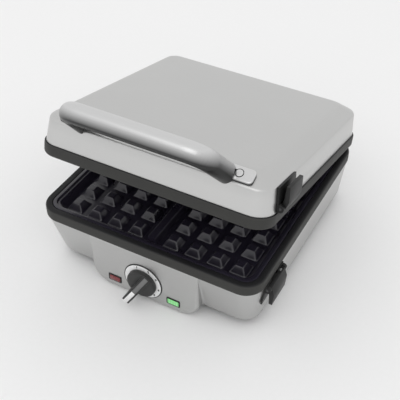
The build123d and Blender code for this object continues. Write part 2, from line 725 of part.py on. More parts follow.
lid_parts = {
    "upper_housing": upper_housing,
    "lid_rim": lid_rim,
    "upper_plate": upper_plate,
    "upper_element": upper_element,
    "upper_pan": upper_pan,
    "lid_standoffs": group(lid_standoffs),
    "thermal_fuse": thermal_fuse,
    "lid_leads": group(lid_leads),
    "handle": handle,
    "handle_caps": group(handle_caps),
    "handle_screws": group(handle_screws),
    "handle_nuts": group(handle_nuts),
    "hinge_arms": group(hinge_arms),
    "hinge_arm_screws": group(arm_screws),
    "lid_release_mount": flipped(lid_release),
    "lid_release_lever": flipped(lever),
    "lid_release_pin": flipped(pin),
    "lid_release_spring": flipped(spring),
}
for name, shape in base_parts.items():
    save(name, shape)
for name, shape in lid_parts.items():
    save(name, shape, on_lid=True)
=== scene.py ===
import json
from math import cos, pi, radians, sin

import bmesh
import bpy
from mathutils import Matrix, Vector


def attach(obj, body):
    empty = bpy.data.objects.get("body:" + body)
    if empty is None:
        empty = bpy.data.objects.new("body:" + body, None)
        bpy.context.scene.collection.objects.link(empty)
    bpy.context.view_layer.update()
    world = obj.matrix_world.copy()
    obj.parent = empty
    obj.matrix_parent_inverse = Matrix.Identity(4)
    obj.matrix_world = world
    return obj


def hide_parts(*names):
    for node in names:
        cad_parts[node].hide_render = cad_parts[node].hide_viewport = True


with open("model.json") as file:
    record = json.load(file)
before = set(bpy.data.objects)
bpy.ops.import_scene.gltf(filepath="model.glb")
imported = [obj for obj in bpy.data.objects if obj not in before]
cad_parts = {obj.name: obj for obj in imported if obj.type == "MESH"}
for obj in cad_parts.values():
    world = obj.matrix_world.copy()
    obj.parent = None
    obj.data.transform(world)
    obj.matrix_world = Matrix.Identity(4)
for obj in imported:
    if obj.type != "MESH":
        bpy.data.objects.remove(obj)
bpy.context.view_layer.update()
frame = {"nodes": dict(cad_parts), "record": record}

# The waffle maker, millimetres in the CAD frame: +X right, +Y back, +Z up, floor at z = 0.
MM = 0.001
HALF, FRONT, REAR = 142.0, -146.0, 146.0    # outline of the rims
PARTING = 85.9              # level where the closed rims meet
RIM_LOW = 71.5              # lower edge of the base rim
LID_LOW = 100.3             # lower edge of the closed lid shell
CREASE_Z = 128.5            # foot of the lid's bevel
LID_TOP = 141.0
CREASE_IN = 5.0             # how far the lid's side leans in up to the crease
CROWN_IN = 22.5             # how far in the flat top starts
BODY_LOW = 12.0             # lower edge of the raked body
APRON_LOW = 2.5             # lower edge of the control apron
SHEET = 1.2
HINGE_Y, HINGE_Z = 155.9, 68.8
LID_OPEN = 13.8             # degrees the lid rests open
PLATE_Y = -4.0              # middle of the waffle plates
PLATE_HALF = 133.4
PLATE_FLOOR = 73.2
KNOB_Z = 30.1
FACE_Y = -145.0             # front of the apron
POINTER = 57.0              # direction of the pointer's upper end, degrees
LAMP_X, LAMP_Z = 39.6, 15.1
LEVER_FRONT, LEVER_REAR = -107, -91    # opening for the release levers


# ---- mesh building ------------------------------------------------------
def opened(points):
    """Turn closed-lid points up to the lid's resting angle."""
    c, s = cos(radians(LID_OPEN)), -sin(radians(LID_OPEN))
    turned = []
    for x, y, z in points:
        dy, dz = y - HINGE_Y, z - HINGE_Z
        turned.append((x, HINGE_Y + c * dy - s * dz, HINGE_Z + s * dy + c * dz))
    return turned


def flipped(points):
    """Mirror base points in the parting plane."""
    return [(x, y, 2 * PARTING - z) for x, y, z in points]


def new_object(name, verts, faces):
    """Mesh object from millimetre points."""
    mesh = bpy.data.meshes.new(name)
    mesh.from_pydata([(x * MM, y * MM, z * MM) for x, y, z in verts], [], faces)
    obj = bpy.data.objects.new(name, mesh)
    bpy.context.scene.collection.objects.link(obj)
    return obj


def clean(obj, merge=1e-6):
    """Weld doubled points and point every face outwards."""
    bm = bmesh.new()
    bm.from_mesh(obj.data)
    bmesh.ops.remove_doubles(bm, verts=bm.verts, dist=merge)
    bmesh.ops.dissolve_degenerate(bm, edges=bm.edges, dist=1e-7)
    bmesh.ops.recalc_face_normals(bm, faces=bm.faces)
    bm.to_mesh(obj.data)
    bm.free()


def bake_modifiers(obj):
    """Turn the object's modifiers into its mesh."""
    depsgraph = bpy.context.evaluated_depsgraph_get()
    mesh = bpy.data.meshes.new_from_object(obj.evaluated_get(depsgraph))
    old = obj.data
    obj.modifiers.clear()
    obj.data = mesh
    bpy.data.meshes.remove(old)


def combine(obj, other, operation):
    """Boolean with another object, which is used up."""
    modifier = obj.modifiers.new("combine", "BOOLEAN")
    modifier.operation = operation
    modifier.solver = "EXACT"
    modifier.object = other
    bake_modifiers(obj)
    bpy.data.objects.remove(other)


def join(name, objects):
    """One object of several closed shells."""
    verts, faces = [], []
    for obj in objects:
        start = len(verts)
        verts += [tuple(v.co / MM) for v in obj.data.vertices]
        faces += [tuple(start + i for i in p.vertices) for p in obj.data.polygons]
        bpy.data.objects.remove(obj)
    return new_object(name, verts, faces)


def soften(obj, width, segments=2, angle=35, dissolve=False):
    """Round every edge sharper than the angle."""
    bm = bmesh.new()
    bm.from_mesh(obj.data)
    bmesh.ops.remove_doubles(bm, verts=bm.verts, dist=2e-6)
    if dissolve:
        bmesh.ops.dissolve_limit(bm, angle_limit=radians(1.5), verts=bm.verts, edges=bm.edges)
    edges = [e for e in bm.edges if len(e.link_faces) == 2 and e.calc_face_angle(0) > radians(angle)]
    bmesh.ops.bevel(
        bm, geom=edges, offset=width * MM, segments=segments, profile=0.5, affect="EDGES",
        clamp_overlap=True,
    )
    bmesh.ops.recalc_face_normals(bm, faces=bm.faces)
    bm.to_mesh(obj.data)
    bm.free()


def finish_piece(obj, body, material, nodes=(), sharp=32):
    """Shade the piece, give it its material and say what it rides on and stands for."""
    obj.data.shade_smooth()
    obj.data.set_sharp_from_angle(angle=radians(sharp))
    obj.data.materials.clear()
    obj.data.materials.append(material)
    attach(obj, body)
    if nodes:
        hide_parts(*nodes)
    return obj


def move_mesh(obj, move):
    """Send every vertex of the object through a function of points."""
    for v in obj.data.vertices:
        v.co = Vector(move([tuple(v.co / MM)])[0]) * MM


def circle(radius, steps):
    """Points (u, v) round a circle."""
    return [(radius * cos(2 * pi * k / steps), radius * sin(2 * pi * k / steps)) for k in range(steps)]


def rounded(half, front, rear, radius, z, steps=10):
    """Rounded rectangle on level z, counter-clockwise from the right front corner."""
    corners = [(1, -1, -90), (1, 1, 0), (-1, 1, 90), (-1, -1, 180)]
    points = []
    for sx, sy, start in corners:
        cx = sx * (half - radius)
        cy = rear - radius if sy > 0 else front + radius
        for k in range(steps + 1):
            a = radians(start + 90 * k / steps)
            points.append((cx + radius * cos(a), cy + radius * sin(a), z))
    return points


def loft(name, rings, closed=True):
    """Skin through rings of equal length, joined end to start or capped."""
    count = len(rings[0])
    verts = [p for ring in rings for p in ring]
    faces = []
    for k in range(len(rings) if closed else len(rings) - 1):
        a, b = k * count, ((k + 1) % len(rings)) * count
        for i in range(count):
            j = (i + 1) % count
            faces.append((a + i, a + j, b + j, b + i))
    if not closed:
        faces.append(tuple(range(count)))
        faces.append(tuple(range(len(verts) - count, len(verts))))
    obj = new_object(name, verts, faces)
    clean(obj)
    return obj


def filleted(sections, reaches, steps=5):
    """Sections with a soft curve of the given reach in place of each inner one."""
    result = [sections[0]]
    for before, corner, after, reach in zip(sections, sections[1:], sections[2:], reaches):
        if reach == 0:
            result.append(corner)
            continue

        def towards(other):
            length = max(abs(o - c) for o, c in zip(other, corner))
            t = min(0.49, reach / length)
            return [c + (o - c) * t for o, c in zip(other, corner)]

        start, end = towards(before), towards(after)
        for k in range(steps + 1):
            t = k / steps
            mix = zip(start, corner, end)
            result.append(tuple((1 - t) ** 2 * a + 2 * t * (1 - t) * b + t * t * c for a, b, c in mix))
    result.append(sections[-1])
    return result


def turned_body(name, profile, x, z, steps=64):
    """Closed body of revolution about the Y direction, from (radius, y) points."""
    return loft(name, [[(x + u, y, z + v) for u, v in circle(radius, steps)] for radius, y in profile])


def block(name, low, high):
    """Box between two corners."""
    x0, y0, z0 = low
    x1, y1, z1 = high
    verts = [(x0, y0, z0), (x1, y0, z0), (x1, y1, z0), (x0, y1, z0),
             (x0, y0, z1), (x1, y0, z1), (x1, y1, z1), (x0, y1, z1)]
    faces = [(0, 3, 2, 1), (4, 5, 6, 7), (0, 1, 5, 4), (1, 2, 6, 5), (2, 3, 7, 6), (3, 0, 4, 7)]
    return new_object(name, verts, faces)


def prism(name, outline, shift):
    """Extrude a closed 3-D outline along a vector."""
    n = len(outline)
    verts = list(outline) + [tuple(a + b for a, b in zip(p, shift)) for p in outline]
    faces = [tuple(range(n))[::-1], tuple(range(n, 2 * n))]
    faces += [(i, (i + 1) % n, n + (i + 1) % n, n + i) for i in range(n)]
    obj = new_object(name, verts, faces)
    clean(obj)
    return obj


def drill(obj, radius, start, end, steps=40):
    """Cut a round hole along Y, from a start (x, z, y) to an end y."""
    x, z, y0 = start
    rings = [[(x + u, y, z + v) for u, v in circle(radius, steps)] for y in (y0, end)]
    combine(obj, loft("hole", rings, closed=False), "DIFFERENCE")


# ---- materials ----------------------------------------------------------
class Nodes:
    """Small helper that wires one procedural material."""

    def __init__(self, name):
        self.material = bpy.data.materials.new(name)
        self.material.use_nodes = True
        self.tree = self.material.node_tree
        self.tree.nodes.clear()
        self.out = self.add("ShaderNodeOutputMaterial")
        self.shader = self.add("ShaderNodeBsdfPrincipled")
        self.link(self.shader, "BSDF", self.out, "Surface")
        self.where = self.add("ShaderNodeTexCoord")

    def add(self, kind, **settings):
        node = self.tree.nodes.new(kind)
        for key, value in settings.items():
            setattr(node, key, value)
        return node

    def link(self, a, out, b, into):
        self.tree.links.new(a.outputs[out], b.inputs[into])

    def noise(self, scale, stretch=(1, 1, 1), detail=3.0, rough=0.5, turn=(0, 0, 0)):
        """Noise over the piece's own coordinates; scale is features per metre."""
        mapping = self.add("ShaderNodeMapping")
        mapping.inputs["Scale"].default_value = [scale * s for s in stretch]
        mapping.inputs["Rotation"].default_value = turn
        self.link(self.where, "Object", mapping, "Vector")
        texture = self.add("ShaderNodeTexNoise")
        texture.inputs["Scale"].default_value = 1.0
        texture.inputs["Detail"].default_value = detail
        texture.inputs["Roughness"].default_value = rough
        self.link(mapping, "Vector", texture, "Vector")
        return texture

    def ramp(self, source, out, low, high):
        """Map a 0..1 value to low..high."""
        node = self.add("ShaderNodeMapRange")
        node.inputs["From Min"].default_value = 0.3
        node.inputs["From Max"].default_value = 0.7
        node.inputs["To Min"].default_value = low
        node.inputs["To Max"].default_value = high
        self.link(source, out, node, "Value")
        return node

    def blend(self, factor, out, first, second):
        """Mix two colours by a value."""
        node = self.add("ShaderNodeMix", data_type="RGBA")
        node.inputs[0].default_value = 0.5
        if factor is not None:
            self.link(factor, out, node, 0)
        for index, colour in ((6, first), (7, second)):
            if isinstance(colour, tuple):
                node.inputs[index].default_value = (*colour, 1.0)
            else:
                self.tree.links.new(colour.outputs[2], node.inputs[index])
        return node

    def bump(self, source, out, strength, distance, before=None):
        node = self.add("ShaderNodeBump")
        node.inputs["Strength"].default_value = strength
        node.inputs["Distance"].default_value = distance
        self.link(source, out, node, "Height")
        if before is not None:
            self.link(before, "Normal", node, "Normal")
        return node

    def upward(self, low, high):
        """Mask of the faces that look up in the piece's own frame, which the materials use to paint shade."""
        split = self.add("ShaderNodeSeparateXYZ")
        self.link(self.where, "Normal", split, "Vector")
        node = self.add("ShaderNodeMapRange")
        node.inputs["From Min"].default_value = low
        node.inputs["From Max"].default_value = high
        self.link(split, "Z", node, "Value")
        return node

    def wear(self, low=0.51, high=0.56):
        """Mask of convex edges."""
        geometry = self.add("ShaderNodeNewGeometry")
        node = self.add("ShaderNodeMapRange")
        node.inputs["From Min"].default_value = low
        node.inputs["From Max"].default_value = high
        self.link(geometry, "Pointiness", node, "Value")
        return node


PAINTED_SHADE_NORMAL_Z = (-0.1, 0.8)    # Z of the normal over which the painted shade fades, from a darkened underside to the unshaded crown


def scaled(colour, k):
    """Colour made brighter or darker."""
    return tuple(min(1.0, c * k) for c in colour)


def brushed(name, colour, rough, grain=(1, 30, 30), depth=0.02, metallic=1.0, vary=0.05, below=None):
    """Brushed metal: fine streaks along one direction, wear brightening the edges, and a painted shade of the
    given colour on the faces that look down.
    """
    m = Nodes(name)
    streak = m.noise(60, grain, detail=5, rough=0.65)
    fine = m.noise(240, grain, detail=2, rough=0.5)
    cloud = m.noise(14, detail=2)
    dark, light = scaled(colour, 1 - vary), scaled(colour, 1 + vary)
    tone = m.blend(m.ramp(streak, "Fac", 0, 1), "Result", dark, light)
    soft = m.blend(m.ramp(cloud, "Fac", 0, 0.5), "Result", tone, scaled(colour, 0.97))
    wear_and_shade = m.blend(m.wear(), "Result", soft, scaled(colour, 1.12))
    if below is not None:
        # Painted shade: faces that look down take the darker colour, standing in for the shade under the
        # piece.
        wear_and_shade = m.blend(m.upward(*PAINTED_SHADE_NORMAL_Z), "Result", below, wear_and_shade)
    m.tree.links.new(wear_and_shade.outputs[2], m.shader.inputs["Base Color"])
    m.link(m.ramp(streak, "Fac", rough * 0.86, rough * 1.14), "Result", m.shader, "Roughness")
    first = m.bump(streak, "Fac", 0.25, depth * MM)
    second = m.bump(fine, "Fac", 0.25, depth * 0.5 * MM, first)
    m.link(second, "Normal", m.shader, "Normal")
    m.shader.inputs["Metallic"].default_value = metallic
    return m.material


def moulded(name, colour, rough, grain=900, depth=0.03, sheen=0.5, edge=1.6, coat=0.0, top=None):
    """Moulded plastic or rubber: fine pebble, soft variation, wear lightening the edges, and a painted shade
    of the given colour on the faces that look up.
    """
    m = Nodes(name)
    pebble = m.noise(grain, detail=2)
    cloud = m.noise(30, detail=3)
    tone = m.blend(m.ramp(cloud, "Fac", 0, 1), "Result", scaled(colour, 0.86), scaled(colour, 1.14))
    wear_and_shade = m.blend(m.wear(0.52, 0.6), "Result", tone, scaled(colour, edge))
    # Painted shade: faces that look up take the given top colour, standing in for the shadow that falls on
    # them.
    if top is not None:
        wear_and_shade = m.blend(m.upward(0.45, 0.8), "Result", wear_and_shade, top)
    m.tree.links.new(wear_and_shade.outputs[2], m.shader.inputs["Base Color"])
    m.link(m.ramp(cloud, "Fac", rough * 0.9, min(1, rough * 1.1)), "Result", m.shader, "Roughness")
    m.link(m.bump(pebble, "Fac", 0.35, depth * MM), "Normal", m.shader, "Normal")
    m.shader.inputs["Specular IOR Level"].default_value = sheen
    m.shader.inputs["Coat Weight"].default_value = coat
    return m.material


def plain_metal(name, colour, rough):
    """Plated or drawn metal with a mottled finish."""
    m = Nodes(name)
    mottle = m.noise(180, detail=4)
    tone = m.blend(m.ramp(mottle, "Fac", 0, 1), "Result", scaled(colour, 0.85), scaled(colour, 1.1))
    m.tree.links.new(tone.outputs[2], m.shader.inputs["Base Color"])
    m.link(m.ramp(mottle, "Fac", rough * 0.8, rough * 1.25), "Result", m.shader, "Roughness")
    m.link(m.bump(mottle, "Fac", 0.2, 0.02 * MM), "Normal", m.shader, "Normal")
    m.shader.inputs["Metallic"].default_value = 1.0
    return m.material


def lens(name, colour, glow, strength):
    """Ribbed translucent lamp window with a lamp behind it."""
    m = Nodes(name)
    wave = m.add("ShaderNodeTexWave", bands_direction="X")
    wave.inputs["Scale"].default_value = 130.0
    wave.inputs["Distortion"].default_value = 0.3
    m.link(m.where, "Object", wave, "Vector")
    tone = m.blend(m.ramp(wave, "Fac", 0, 1), "Result", scaled(colour, 0.75), scaled(colour, 1.15))
    m.tree.links.new(tone.outputs[2], m.shader.inputs["Base Color"])
    m.link(m.ramp(wave, "Fac", 0.12, 0.2), "Result", m.shader, "Roughness")
    m.link(m.bump(wave, "Fac", 0.3, 0.1 * MM), "Normal", m.shader, "Normal")
    m.shader.inputs["Emission Color"].default_value = (*glow, 1.0)
    m.shader.inputs["Emission Strength"].default_value = strength
    m.shader.inputs["Coat Weight"].default_value = 0.5
    return m.material


MATERIALS = {
    "housing_steel": brushed("housing_brushed_steel", (0.53, 0.53, 0.525), 0.36),
    # below= paints the grip near black on its downward faces: painted shade, not a colour of the metal.
    "handle_silver": brushed("handle_satin_silver", (0.62, 0.62, 0.62), 0.33, depth=0.004, vary=0.03,
                             below=(0.05, 0.05, 0.05)),
    "insert_silver": brushed("pointer_bright_silver", (0.82, 0.82, 0.82), 0.25, depth=0.005),
    "dial_silver": brushed("dial_matt_silver", (0.86, 0.86, 0.86), 0.5, depth=0.005, metallic=0.35),
    # The rims' upward faces are painted near black: painted shadow of the lid over the rim, not a colour of
    # the phenolic.
    "rim_phenolic": moulded("rim_dark_phenolic", (0.031, 0.031, 0.029), 0.6, sheen=0.35,
                            top=(0.008, 0.008, 0.009)),
    "black_plastic": moulded("black_moulded_plastic", (0.01, 0.01, 0.01), 0.45, sheen=0.25),
    "knob_plastic": moulded("knob_black_plastic", (0.016, 0.016, 0.016), 0.38),
    "plate_nonstick": moulded("nonstick_coating", (0.014, 0.012, 0.02), 0.3, grain=1500, depth=0.02,
                              edge=2.2, coat=0.3),
    "black_steel": moulded("black_painted_steel", (0.025, 0.025, 0.026), 0.4, grain=600),
    "rubber": moulded("black_rubber", (0.02, 0.02, 0.02), 0.8),
    "zinc_steel": plain_metal("zinc_plated_steel", (0.55, 0.55, 0.53), 0.32),
    "spring_steel": plain_metal("drawn_spring_steel", (0.42, 0.42, 0.42), 0.3),
    "pan_steel": plain_metal("pressed_pan_steel", (0.5, 0.51, 0.52), 0.35),
    "element_sheath": plain_metal("heat_tinted_sheath", (0.27, 0.25, 0.24), 0.45),
    "ceramic": moulded("glazed_ceramic", (0.72, 0.69, 0.62), 0.6),
    "red_lens": lens("red_lamp_lens", (0.15, 0.008, 0.012), (0.4, 0.01, 0.02), 0.06),
    "green_lens": lens("green_lamp_lens", (0.2, 0.52, 0.2), (0.2, 0.7, 0.24), 0.35),
    "lamp_glass": moulded("lamp_glass", (0.7, 0.7, 0.66), 0.15, depth=0.0),
    "lead_insulation": moulded("silicone_insulation", (0.6, 0.58, 0.54), 0.6),
}
# Darker copy of the pointer's silver for the upper part of the crest: painted shade on that slope of the
# blade.
CREST_SHADE = brushed("pointer_crest_painted_shade", (0.17, 0.17, 0.17), 0.35, depth=0.005)
MARKING = moulded("dial_marking_ink", (0.012, 0.012, 0.012), 0.5, depth=0.0)


# ---- lid shell ----------------------------------------------------------
def inset_section(inset, radius, z, rear_extra=0.0):
    """Rounded rectangle that lies within the rims' outline."""
    return (HALF - inset, FRONT + inset, REAR - inset - rear_extra, radius, z)


SLOPE_EXTRA = 6.0    # the rear bevel is that much broader than the others
CROWN = (20.0, -24.0, 14.0, 4.0)
lid_sections = [
    inset_section(2.0, 22.0, LID_LOW),
    inset_section(CREASE_IN, 20.0, CREASE_Z),
    inset_section(CROWN_IN, 12.0, LID_TOP, SLOPE_EXTRA),
    inset_section(60.0, 8.0, LID_TOP, SLOPE_EXTRA),
]
outer = filleted(lid_sections, [2.6, 4.0], steps=6) + [(*CROWN, LID_TOP)]
inner = [
    (*CROWN, LID_TOP - SHEET),
    inset_section(CROWN_IN + 0.5, 11.5, LID_TOP - SHEET, SLOPE_EXTRA),
    inset_section(CREASE_IN + SHEET, 18.8, CREASE_Z - 0.5),
    inset_section(2.0 + SHEET, 20.8, LID_LOW),
]


def shell(name, outer_sections, inner_sections, move):
    """Closed thin shell, open downwards, with flat crowns in the middle."""
    rings = [move(rounded(*s)) for s in outer_sections]
    rings_in = [move(rounded(*s)) for s in inner_sections]
    count = len(rings[0])
    verts = [p for ring in rings + rings_in for p in ring]
    faces = []
    total = len(rings) + len(rings_in)
    crown = len(rings) - 1
    for k in range(total):
        if k == crown:
            continue
        a, b = k * count, ((k + 1) % total) * count
        faces += [(a + i, a + (i + 1) % count, b + (i + 1) % count, b + i) for i in range(count)]
    faces.append(tuple(range(crown * count, (crown + 1) * count)))
    faces.append(tuple(range((crown + 1) * count, (crown + 2) * count)))
    obj = new_object(name, verts, faces)
    clean(obj)
    return obj


def cut_lever_window(obj, low, high, move):
    """Opening in the right side for a release lever, between two levels."""
    window = block("window", (HALF - 12, LEVER_FRONT, low), (HALF + 4, LEVER_REAR, high))
    move_mesh(window, move)
    combine(obj, window, "DIFFERENCE")


lid_shell = shell("lid_shell", outer, inner, opened)
cut_lever_window(lid_shell, 2 * PARTING - 71.7, 2 * PARTING - 59, opened)
finish_piece(lid_shell, "lid", MATERIALS["housing_steel"], ["upper_housing"])


# ---- base shell ---------------------------------------------------------
APRON = 71.5             # half width of the apron
APRON_CORNER = 22.0
APRON_DEPTH = 20.0       # how deep its lower end runs under the body
FOOT_OUTLINE = (133.2, -129.2, 149.4, 20.5)    # half, front, rear and corner of the body's lower edge
OUTLINE_GAIN = (7.6, -15.6, -4.0, 2.3)         # what they gain up to the rim
SHAFT_HOLE, INLET_HOLE = 3.6, 6.2
INLET_X, INLET_Z = 40.0, 24.0


def arc_points(cx, cy, radius, start, end, steps):
    """Points of an arc between two directions in degrees."""
    turns = [radians(start + (end - start) * k / steps) for k in range(steps + 1)]
    return [(cx + radius * cos(a), cy + radius * sin(a)) for a in turns]


def base_outline(half, front, rear, radius, z, apron, face):
    """Plan outline of the raked body with the control apron standing out of its front."""
    depth = front - face
    out_r = min(5.0, 0.6 * depth)
    in_r = min(3.0, 0.35 * depth)
    right = arc_points(half - radius, front + radius, radius, -90, 0, 10)
    right += arc_points(half - radius, rear - radius, radius, 0, 90, 10)
    joint = arc_points(apron + in_r, front - in_r, in_r, 180, 90, 5)
    corner = arc_points(apron - out_r, face + out_r, out_r, -90, 0, 7)
    half_line = [(apron * t, face) for t in (0.0, 0.5)] + corner + joint
    half_line += [(apron + in_r + (half - radius - apron - in_r) * t, front) for t in (0.34, 0.67)] + right
    mirrored = [(-x, y) for x, y in reversed(half_line[1:])]
    return [(x, y, z) for x, y in half_line + mirrored]


def rolled(height, radius):
    """How far an edge rolled to the radius tucks in at a height above it."""
    return radius - (radius * radius - max(0.0, radius - height) ** 2) ** 0.5


def apron_reach(z, inset=0.0):
    """Half width of the apron on level z, with its round lower corners."""
    reach = APRON_CORNER - inset
    drop = max(0.0, reach - max(z - APRON_LOW - inset, 0.0))
    return APRON - APRON_CORNER + (reach * reach - drop * drop) ** 0.5


def base_section(z, inset):
    """Size of the raked body and apron on level z, shrunk by the inset."""
    t = (z - BODY_LOW) / (RIM_LOW - BODY_LOW)
    tuck = rolled(z - BODY_LOW, 1.2) if inset == 0 else 0.0
    half, front, rear, radius = (low + gain * t for low, gain in zip(FOOT_OUTLINE, OUTLINE_GAIN))
    move = inset + tuck
    return base_outline(half - move, front + move, rear - move, radius - inset, z,
                        apron_reach(z, inset), FACE_Y + inset)


levels = [BODY_LOW, BODY_LOW + 0.15, BODY_LOW + 0.5, BODY_LOW + 1.0, BODY_LOW + 1.6]
levels += [15.0, 17.0, 19.5, 22.0, 24.5, 32.0, 40.0, 48.0, 56.0, 62.0, 67.0, 70.0, RIM_LOW]
rings = [base_section(z, 0.0) for z in levels]
rings += [base_section(z, SHEET) for z in reversed(levels)]
body_shell = loft("body", rings)
drill(body_shell, SHAFT_HOLE, (0.0, KNOB_Z, FACE_Y - 5), FACE_Y + 6)
drill(body_shell, INLET_HOLE, (INLET_X, INLET_Z, REAR - 6), REAR + 8)
cut_lever_window(body_shell, 59.0, 72.5, lambda points: points)


def apron_foot_ring(z):
    """Outline of the apron's lower end, which hangs below the body."""
    tuck = rolled(z - APRON_LOW, 1.4)
    reach, rear = apron_reach(z) - 0.3 * tuck, FACE_Y + APRON_DEPTH
    corner = arc_points(reach - 5.0, FACE_Y + tuck + 5.0, 5.0, -90, 0, 7)
    back = arc_points(reach - 1.0, rear - 1.0, 1.0, 0, 90, 4)
    side = [(0.0, FACE_Y + tuck), (reach * 0.5, FACE_Y + tuck)] + corner + back
    outline = side + [(0.0, rear)] + [(-x, y) for x, y in reversed(side[1:])]
    return [(x, y, z) for x, y in outline]


corner_levels = [
    APRON_LOW + APRON_CORNER * (1 - cos(radians(a))) for a in (0, 5, 9, 14, 20, 26, 32, 38, 44, 50)
]
foot_levels = [z for z in corner_levels if z < BODY_LOW - 0.6] + [BODY_LOW]
apron_foot = loft("apron_foot", [apron_foot_ring(z) for z in foot_levels], closed=False)
base_shell = join("base_shell", [body_shell, apron_foot])
finish_piece(base_shell, "base", MATERIALS["housing_steel"], ["lower_housing"])


# ---- rims ---------------------------------------------------------------
def rim(name, move):
    """Moulded ring: crowned outer band, rolled top and the ledge under the plate."""
    top = PARTING - 0.3
    ledge = PARTING - 3.7
    band = [
        (3.0, 21.0, RIM_LOW), (1.0, 23.0, RIM_LOW), (0.5, 23.5, RIM_LOW + 0.25), (0.1, 23.9, RIM_LOW + 1.2),
        (0.0, 24.0, RIM_LOW + 3.0), (0.0, 24.0, top - 2.6), (0.25, 23.8, top - 1.5), (0.8, 23.3, top - 0.6),
        (1.7, 22.4, top - 0.12), (2.6, 21.6, top),
    ]
    pocket = [
        (134.9, 16.6, top), (134.3, 16.3, top - 0.2), (133.95, 16.05, top - 0.7), (133.9, 16.0, ledge),
        (129.7, 12.0, ledge), (129.7, 12.0, ledge - 3.0),
    ]
    sections = [inset_section(*s) for s in band]
    sections += [(half, PLATE_Y - half, PLATE_Y + half, radius, z) for half, radius, z in pocket]
    sections.append(inset_section(3.0, 21.0, ledge - 3.0))
    return loft(name, [move(rounded(*s, steps=12)) for s in sections])


base_ring = rim("base_rim_ring", lambda points: points)
finish_piece(base_ring, "base", MATERIALS["rim_phenolic"], ["base_rim"])
lid_ring = rim("lid_rim_ring", lambda points: opened(flipped(points)))
finish_piece(lid_ring, "lid", MATERIALS["rim_phenolic"], ["lid_rim"])


# ---- waffle plates ------------------------------------------------------
STUD_BASE, STUD_TOP, STUD_H = 20.2, 9.6, 8.5
RIDGE_HALF, RIDGE_SIDE, RIDGE_H = 7.0, 2.4, 8.0    # half foot, run of a side and height
PITCH, WAFFLE_GAP, STUDS = 28.0, 26.4, 4
FIELD = PITCH * (STUDS - 1) / 2
WAFFLE_C = (WAFFLE_GAP + STUD_BASE) / 2 + FIELD
STUD_AT = [s * (WAFFLE_C - FIELD + i * PITCH) for s in (-1, 1) for i in range(STUDS)]
FIELD_EDGE = 118.6


def soft_max(a, b, k):
    """The larger value, with a round turn of size k where the two cross."""
    gap = max(k - abs(a - b), 0.0) / k
    return max(a, b) + gap * gap * k * 0.25


def soft_min(a, b, k):
    """The smaller value, with the same round turn."""
    return -soft_max(-a, -b, k)


def stud_height(dx, dy):
    """Frustum with softly rounded edges, height above the plate floor."""
    reach = (abs(dx) ** 14 + abs(dy) ** 14) ** (1 / 14)
    rise = STUD_H * (STUD_BASE / 2 - reach) / ((STUD_BASE - STUD_TOP) / 2)
    return soft_min(soft_max(rise, 0.0, 1.4), STUD_H, 0.9)


def ridge_height(d):
    """Height of a dividing ridge at a distance from its middle."""
    rise = RIDGE_H * (RIDGE_HALF - abs(d)) / RIDGE_SIDE
    return soft_min(soft_max(rise, 0.0, 1.6), RIDGE_H, 1.6)


def relief_lines():
    """Grid lines set closer along every stud and ridge edge."""
    stud = [11.4, 10.9, 10.4, 10.1, 9.8, 9.4, 8.6, 7.6, 6.5, 5.8, 5.3, 5.0, 4.8, 4.6, 4.2, 3.4, 1.6]
    ridge = [9.0, 8.0, 7.4, 7.0, 6.6, 6.2, 5.6, 5.1, 4.8, 4.5, 4.0, 3.2, 1.6]
    lines = {-FIELD_EDGE, FIELD_EDGE, 0.0}
    for centre in STUD_AT:
        lines |= {round(centre + s * d, 3) for s in (-1, 1) for d in stud}
        lines.add(round(centre, 3))
    lines |= {s * d for s in (-1, 1) for d in ridge}
    return sorted(v for v in lines if abs(v) <= FIELD_EDGE)


def relief(name, move):
    """Field of studs and dividing ridges as one closed solid let into the tray's floor."""
    lines = relief_lines()
    n = len(lines)
    base = PLATE_FLOOR + 0.12
    top, bottom = [], []
    near = {v: min((abs(v - c), v - c) for c in STUD_AT)[1] for v in lines}
    for x in lines:
        for y in lines:
            height = stud_height(near[x], near[y])
            height = soft_max(height, ridge_height(x), 1.0) if abs(x) < 12 else height
            height = soft_max(height, ridge_height(y), 1.0) if abs(y) < 12 else height
            height = max(height, 0.0)
            top.append((x, y + PLATE_Y, base + height))
            bottom.append((x, y + PLATE_Y, PLATE_FLOOR - 1.0))
    faces = []
    for i in range(n - 1):
        for j in range(n - 1):
            a = i * n + j
            faces.append((a, a + n, a + n + 1, a + 1))
    edge = [i * n for i in range(n)] + [(n - 1) * n + j for j in range(1, n)]
    edge += [i * n + n - 1 for i in range(n - 2, -1, -1)] + [j for j in range(n - 2, 0, -1)]
    low = {index: n * n + k for k, index in enumerate(edge)}
    verts = top + [bottom[index] for index in edge]
    for a, b in zip(edge, edge[1:] + edge[:1]):
        faces.append((a, b, low[b], low[a]))
    faces.append(tuple(low[index] for index in edge))
    obj = new_object(name, move(verts), faces)
    clean(obj, 1e-8)
    return obj


def around_plate(half, radius, z):
    """Rounded square about the plate's middle."""
    return rounded(half, PLATE_Y - half, PLATE_Y + half, radius, z, steps=12)


